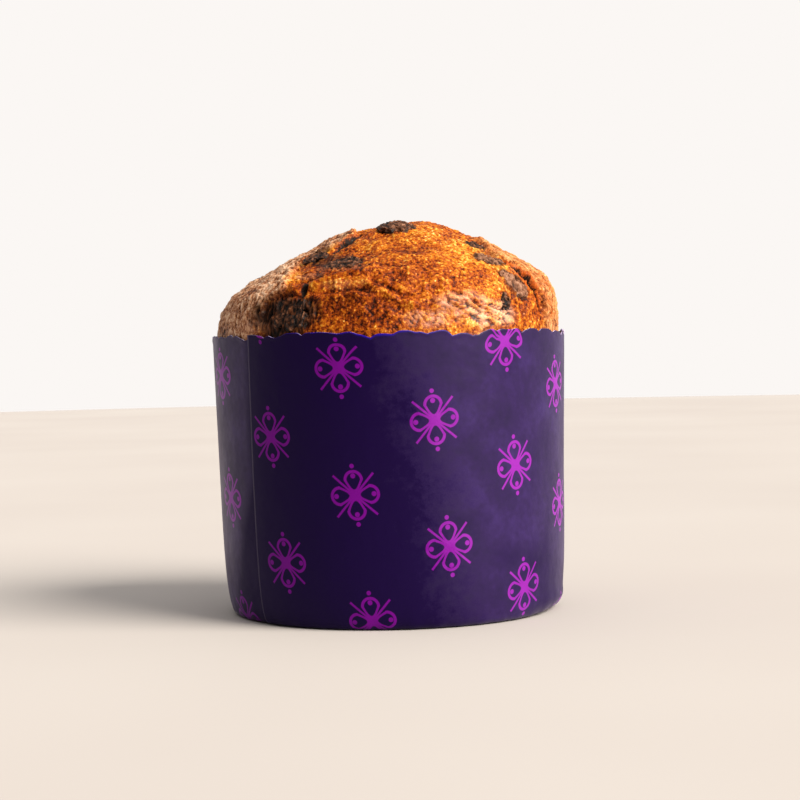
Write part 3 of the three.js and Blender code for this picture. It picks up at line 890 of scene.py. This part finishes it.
pattern = {
    # the flower print repeats along two steps on the flat sheet, and a whole number of each goes once round
    "start": (-18.4, 98.5),
    "across": (35.37, -20.16),
    "down": (4.66, -47.45),
    "stepsRound": (13, -5),
    "radius": 70,
    "turn": 4.9,
    "bow": 0.0007,
    "bowEnd": 85,
    "petalMiddle": 5.75,
    "petalRound": 3.15,
    "stroke": 0.56,
    "seed": 0.95,
    "ray": 11.0,
    "rayHalf": 0.42,
    "heart": 1.7,
    "dotAt": 10.9,
    "dot": 0.85,
}


def makePaper(materials):
    tree, wanted = paperTree()
    piece = bpy.data.objects.new("paper_mould", bpy.data.meshes.new("paper_mould"))
    scene.collection.objects.link(piece)
    wound = piece.modifiers.new("wound sheet", "NODES")
    wound.node_group = tree
    for identifier, value in wanted.items():
        wound[identifier] = materials[0] if value is None else value
    mesh = settle(piece, "paper_mould")
    count = len(mesh.vertices)
    points = readArray(mesh.vertices, "co", 3) / mm
    turn, rise, _ = readArray(mesh.attributes["sheetPlace"].data, "vector", 3).T
    b = np.radians(turn)
    out = np.stack([np.sin(b), -np.cos(b)], -1)
    move = np.zeros(count)
    for bearing, reach, height, tall, amount in paper["dents"]:
        move += amount * np.exp(-(turned(turn, bearing) / reach) ** 2 - ((rise - height) / tall) ** 2)
    onWall = smoothstep(-3, 2, rise)
    curl = smoothstep(110.2, 112, rise) * (0.3 * field(points, 9, 40) + 0.12)
    points[:, :2] += out * (move * onWall + curl)[:, None]
    for bearing, reach, depth in paper["rimDips"]:
        points[:, 2] -= depth * np.exp(-(turned(turn, bearing) / reach) ** 2) * smoothstep(94, 112, rise)
    bearing, reach, amount = paper["lift"]
    away = np.hypot(points[:, 0], points[:, 1])
    corner = np.exp(-np.maximum(rise, 0) / 3.5) * smoothstep(60, 66, away)
    points[:, 2] += amount * np.exp(-(turned(turn, bearing) / reach) ** 2) * corner
    mesh.vertices.foreach_set("co", (points * mm).ravel())
    # where each place lies on the printed sheet, with the repeat closing round the back
    steps = np.array([pattern["across"], pattern["down"]])
    whole = pattern["stepsRound"] @ steps
    closing = smoothstep(100, 260, turn)
    radius = pattern["radius"]
    bow = pattern["bow"] * np.minimum(np.abs(turned(turn, 0)) * math.radians(radius), pattern["bowEnd"]) ** 2
    across = b * radius + closing * (whole[0] - 2 * math.pi * radius)
    place = np.stack([across, rise - bow + closing * whole[1], mould["height"] - rise], -1)
    mesh.attributes.new("print", "FLOAT_VECTOR", "POINT").data.foreach_set("vector", place.ravel())
    mesh.attributes.remove(mesh.attributes["sheetPlace"])
    for material in materials[1:]:
        mesh.materials.append(material)
    thick = piece.modifiers.new("paper thickness", "SOLIDIFY")
    thick.thickness, thick.offset = paper["thickness"] * mm, -1
    thick.material_offset, thick.material_offset_rim = 1, 2
    mesh = settle(piece, "paper_mould")
    # on the bake map the outside, the inside and the cut edges each have a place of their own
    u, v = readArray(mesh.uv_layers["OFBake"].data, "uv", 2).T
    inner = readArray(mesh.loops, "vertex_index", 1, int) >= count
    sides = np.repeat(readArray(mesh.polygons, "material_index", 1, int), 4)
    seam = (u < 0.0005) | (u > 0.9995)
    face = np.arange(len(u)) // 4
    seam = np.bincount(face, seam)[face] > 3.5
    base = np.where(seam, np.where(u < 0.5, 0.012, 0.405), np.where(v < 0.5, 0.002, 0.395))
    height = np.select([sides == 0, sides == 1], [0.42 + 0.57 * v, 0.03 + 0.36 * v], base + 0.006 * inner)
    uvs = np.stack([0.01 + 0.98 * np.where((sides == 2) & seam, v, u), height], -1)
    mesh.uv_layers["OFBake"].data.foreach_set("uv", uvs.ravel())
    # painted shade: the upright cut at the seam is painted near black, as if shadowed
    looks = np.where(seam & (sides == 2), 3, sides)[::4]
    mesh.polygons.foreach_set("material_index", looks)
    mesh.polygons.foreach_set("use_smooth", np.ones(len(mesh.polygons), bool))
    mesh.update()
    return piece


def printedPaperMaterial():
    # waxed greaseproof paper, printed violet: nearly black face on, with a soft grey sheen at a slant
    # cells per metre: 14 mm oily clouds, 2.5 mm mottle, 0.5 mm paper grain, 9 mm crumples, 45 mm darker pools
    material, known = newMaterial("printed greaseproof paper", (), (
        ("clouds", 70, 4), ("mottle", 400, 3), ("grain", 2000, 2), ("crumple", 110, 2), ("pools", 22, 3)))
    tree = material.node_tree
    sheet = addNode(tree, "ShaderNodeAttribute", {"attribute_name": "print"}).outputs["Vector"]
    for labels, source in ((("x", "y", "fromRim"), sheet), (("east", "north", "height"), known["place"])):
        parts = addNode(tree, "ShaderNodeSeparateXYZ", None, [source])
        known.update(zip(labels, parts.outputs))
    ax, ay = pattern["across"]
    dx, dy = pattern["down"]
    area = ax * dy - ay * dx
    turn, middle, half = math.radians(pattern["turn"]), pattern["petalMiddle"], math.sqrt(0.5)
    cosine, sine = math.cos(turn), math.sin(turn)
    return finishMaterial(material, known, (
        ("toFront", "MULTIPLY", "north", -1.0),
        ("bearing", "ARCTAN2", "east", "toFront"),
        ("bearing", "DEGREES", "bearing"),
        # which repeat this is, and the place within it
        ("x", "SUBTRACT", "x", pattern["start"][0]),
        ("y", "SUBTRACT", "y", pattern["start"][1]),
        ("i", "MULTIPLY", "x", dy / area),
        ("i", "MULTIPLY_ADD", "y", -dx / area, "i"),
        ("j", "MULTIPLY", "y", ax / area),
        ("j", "MULTIPLY_ADD", "x", -ay / area, "j"),
        ("i", "ROUND", "i"),
        ("j", "ROUND", "j"),
        ("x", "MULTIPLY_ADD", "i", -ax, "x"),
        ("x", "MULTIPLY_ADD", "j", -dx, "x"),
        ("y", "MULTIPLY_ADD", "i", -ay, "y"),
        ("y", "MULTIPLY_ADD", "j", -dy, "y"),
        ("side", "MULTIPLY", "x", cosine),
        ("side", "MULTIPLY_ADD", "y", sine, "side"),
        ("up", "MULTIPLY", "y", cosine),
        ("up", "MULTIPLY_ADD", "x", -sine, "up"),
        ("side", "ABSOLUTE", "side"),
        ("up", "ABSOLUTE", "up"),
        ("far", "MAXIMUM", "side", "up"),
        ("near", "MINIMUM", "side", "up"),
        # an outlined petal, rounder at its outer end
        ("beyond", "SUBTRACT", "far", middle),
        ("outerHalf", "MAXIMUM", "beyond", 0.0),
        ("innerHalf", "MINIMUM", "beyond", 0.0),
        ("beyond", "MULTIPLY_ADD", "innerHalf", 0.72, "outerHalf"),
        ("narrow", "MULTIPLY_ADD", "innerHalf", -0.16, 1.0),
        ("narrow", "MULTIPLY", "near", "narrow"),
        *outsideCircle("petal", "narrow", "beyond", pattern["petalRound"]),
        ("petal", "ABSOLUTE", "petal"),
        ("petal", "SUBTRACT", "petal", pattern["stroke"]),
        # a seed in each petal
        ("seed", "SUBTRACT", "far", middle + 1.5),
        *outsideCircle("seed", "seed", "near", pattern["seed"]),
        # a ray on each diagonal
        ("rayFar", "ADD", "far", "near"),
        ("rayFar", "MULTIPLY_ADD", "rayFar", half, -pattern["ray"]),
        ("raySide", "SUBTRACT", "far", "near"),
        ("raySide", "MULTIPLY_ADD", "raySide", half, -pattern["rayHalf"]),
        ("ray", "MAXIMUM", "rayFar", "raySide"),
        *outsideCircle("heart", "far", "near", pattern["heart"]),
        # a dot above and below
        ("dot", "SUBTRACT", "up", pattern["dotAt"]),
        *outsideCircle("dot", "dot", "side", pattern["dot"]),
        ("ink", "MINIMUM", "petal", "seed"),
        ("ink", "MINIMUM", "ink", "ray"),
        ("ink", "MINIMUM", "ink", "heart"),
        ("ink", "MINIMUM", "ink", "dot"),
        ("ink", "MULTIPLY_ADD", "ink", -4.0, 0.5),
        ("cloud", "MULTIPLY", "clouds", 0.7),
        ("cloud", "MULTIPLY_ADD", "mottle", 0.3, "cloud"),
        ("rough", "MULTIPLY_ADD", "cloud", -0.3, 0.6),
        # painted shade across the front left, up to a slanted cloudy edge, past which the paper is painted
        # lighter, as painted sheen on the right and painted reflection on the far left; the shaded part is
        # also less shiny, and round the back there are darker pools
        *weighted("wetEdge", -9.5, height=-190.0, clouds=34.0, mottle=20.0, grain=10.0),
        ("wetRight", "SUBTRACT", "wetEdge", "bearing"),
        ("wetRight", "MULTIPLY_ADD", "wetRight", 0.055, 0.5),
        ("wetLeft", "MULTIPLY_ADD", "bearing", 0.2, 10.7),
        ("low", "MULTIPLY_ADD", "height", -60.0, 3.4),
        ("low", "MAXIMUM", "low", 0.0),
        ("wetLeft", "ADD", "wetLeft", "low"),
        ("wetFront", "MINIMUM", "wetRight", "wetLeft"),
        ("wetBack", "MULTIPLY_ADD", "pools", 5.0, -2.9),
        ("wet", "MAXIMUM", "wetFront", "wetBack"),
        ("shine", "MULTIPLY_ADD", "wet", -0.11, 0.18),
        # a bright blue line under the cut rim, at the front only
        ("offFront", "ADD", "bearing", 1.0),
        ("offFront", "ABSOLUTE", "offFront"),
        *weighted("edge", 0.9, fromRim=-1.3, mottle=1.4, offFront=-0.035),
        ("band", "SUBTRACT", "edge", 0.2),
        ("mask", "ShaderNodeClamp", None, ["ink"]),
        # the paper and its ink are painted darker in the painted shade
        ("dry", "ShaderNodeValToRGB", {"stops": [(0.3, "#1b0b38"), (0.5, "#241144"), (0.7, "#301d56")]},
         ["cloud"]),
        ("ground", *blend, {0: "wet", 6: "dry", 7: "#130233"}),
        ("rimmed", *blend, {0: "band", 6: "ground", 7: "#1f0a86"}),
        ("inked", *blend, {0: "wet", 6: "#831c9a", 7: "#6c0482"}),
        ("colour", *blend, {0: "mask", 6: "rimmed", 7: "inked"}),
        ("bump", "ShaderNodeBump", None, {"Strength": 0.5, "Distance": 0.0006, "Height": "crumple"}),
        ("fine", "ShaderNodeBump", None,
         {"Strength": 0.25, "Distance": 0.0001, "Height": "grain", "Normal": "bump"}),
        ("shader", "ShaderNodeBsdfPrincipled", None,
         {"Base Color": "colour", "Roughness": "rough", "IOR": 1.48, "Specular IOR Level": "shine",
          "Sheen Weight": 0.12, "Sheen Roughness": 0.4, "Sheen Tint": "#d9c8f0", "Normal": "fine"}),
    ), ("band", "rough", "wet"))


def plainPaperMaterial(name, dark, light, roughness, scale):
    # unprinted paper: dull, with a faint cloudy tone from its fibres, which are 0.6 mm apart
    material, known = newMaterial(name, (), (("cloud", scale, 4), ("fibre", 1800, 2)))
    return finishMaterial(material, known, (
        ("colour", "ShaderNodeValToRGB", {"stops": [(0.35, dark), (0.65, light)]}, ["cloud"]),
        ("bump", "ShaderNodeBump", None, {"Strength": 0.4, "Distance": 0.00015, "Height": "fibre"}),
        ("shader", "ShaderNodeBsdfPrincipled", None,
         {"Base Color": "colour", "Roughness": roughness, "Specular IOR Level": 0.2, "Normal": "bump"}),
    ))


paperPiece = makePaper([
    printedPaperMaterial(),
    plainPaperMaterial("greaseproof paper inside", "#1c1030", "#2c1c4c", 0.6, 90),
    # the cut edge's pale lavender is partly its undyed core and partly painted glints
    plainPaperMaterial("cut paper edge", "#3c2688", "#d6cbee", 0.7, 160),
    plainPaperMaterial("seam edge in painted shade", "#05020b", "#0a0414", 0.9, 160),
])
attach(paperPiece, "root")
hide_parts("paper_wall")
print("paper:", len(paperPiece.data.polygons), "faces")

# the base disc keeps its solid; it is the same greaseproof stock, unprinted
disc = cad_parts["paper_base"]
disc.data.materials.clear()
disc.data.materials.append(plainPaperMaterial("greaseproof board", "#3a2a26", "#54403a", 0.75, 120))

studio = {
    "camera": (4.2, -768.0, 105.0),
    "lens": 85.0,
    "pitch": 88.46,
    "roll": -1.26,
    "floorRadius": 3000.0,
    "floorRings": 24,
    "floorColumns": 96,
    # direction towards the key light, its strength, and how soft it is in degrees
    "keyFrom": (0.70, -0.42, 0.58),
    "keyStrength": 6.5,
    "keySoft": 40.0,
}


def makeFloor():
    bearings = np.linspace(0, 2 * math.pi, studio["floorColumns"], endpoint=False)
    circle = np.stack([np.cos(bearings), np.sin(bearings), 0 * bearings], -1)
    rings = [np.zeros((1, 3))]
    rings += [reach * circle for reach in np.geomspace(60, studio["floorRadius"], studio["floorRings"])]
    material, known = newMaterial("pale painted floor", (), [("cloud", 3, 2)])
    finishMaterial(material, known, (
        ("colour", "ShaderNodeValToRGB", {"stops": [(0.3, "#b4b0ae"), (0.7, "#b9b6b4")]}, ["cloud"]),
        ("shader", "ShaderNodeBsdfPrincipled", None,
         {"Base Color": "colour", "Roughness": 0.8, "Specular IOR Level": 0.2}),
    ))
    return makePiece("floor", np.concatenate(rings), joinAll(rings)[0], [material])


makeFloor()

lamp = bpy.data.objects.new("key light", bpy.data.lights.new("key light", "SUN"))
scene.collection.objects.link(lamp)
lamp.rotation_euler = Vector(studio["keyFrom"]).to_track_quat("Z", "Y").to_euler()
lamp.data.energy = studio["keyStrength"]
lamp.data.angle = math.radians(studio["keySoft"])
lamp.data.color = linear("#fff4e6")[:3]

world = bpy.data.worlds.new("studio")
scene.world = world
world.use_nodes = True
tree = world.node_tree
tree.nodes.clear()
aim = addNode(tree, "ShaderNodeTexCoord").outputs["Generated"]
# pale walls all round, but for a dim corner of the room to the left of the camera
dim = addNode(tree, "ShaderNodeVectorMath", {"operation": "DOT_PRODUCT"}, [aim, (-0.7, -0.7, 0.0)])
walls = addNode(tree, "ShaderNodeMapRange", {"interpolation_type": "SMOOTHSTEP"}, {
    "Value": dim.outputs["Value"], "From Min": 0.4, "From Max": 0.85, "To Min": 0.8, "To Max": 0.05})
lit = addNode(tree, "ShaderNodeBackground", None, {"Color": "#fff8f2", "Strength": walls.outputs[0]})
seen = addNode(tree, "ShaderNodeBackground", None, {"Color": "#fbf7f4", "Strength": 1.0})
straight = addNode(tree, "ShaderNodeLightPath").outputs["Is Camera Ray"]
both = addNode(tree, "ShaderNodeMixShader", None, [straight, lit.outputs[0], seen.outputs[0]])
addNode(tree, "ShaderNodeOutputWorld", None, {"Surface": both.outputs[0]})
scene.view_settings.view_transform = "Standard"

camera = bpy.data.objects.new("camera", bpy.data.cameras.new("camera"))
scene.collection.objects.link(camera)
camera.data.lens = studio["lens"]
camera.data.sensor_width = 36.0
camera.data.clip_start, camera.data.clip_end = 0.01, 20.0
camera.matrix_world = (Matrix.Translation(Vector(studio["camera"]) * mm)
                       @ Matrix.Rotation(math.radians(studio["pitch"]), 4, "X")
                       @ Matrix.Rotation(math.radians(studio["roll"]), 4, "Z"))
scene.camera = camera
print("stage, light and camera set")
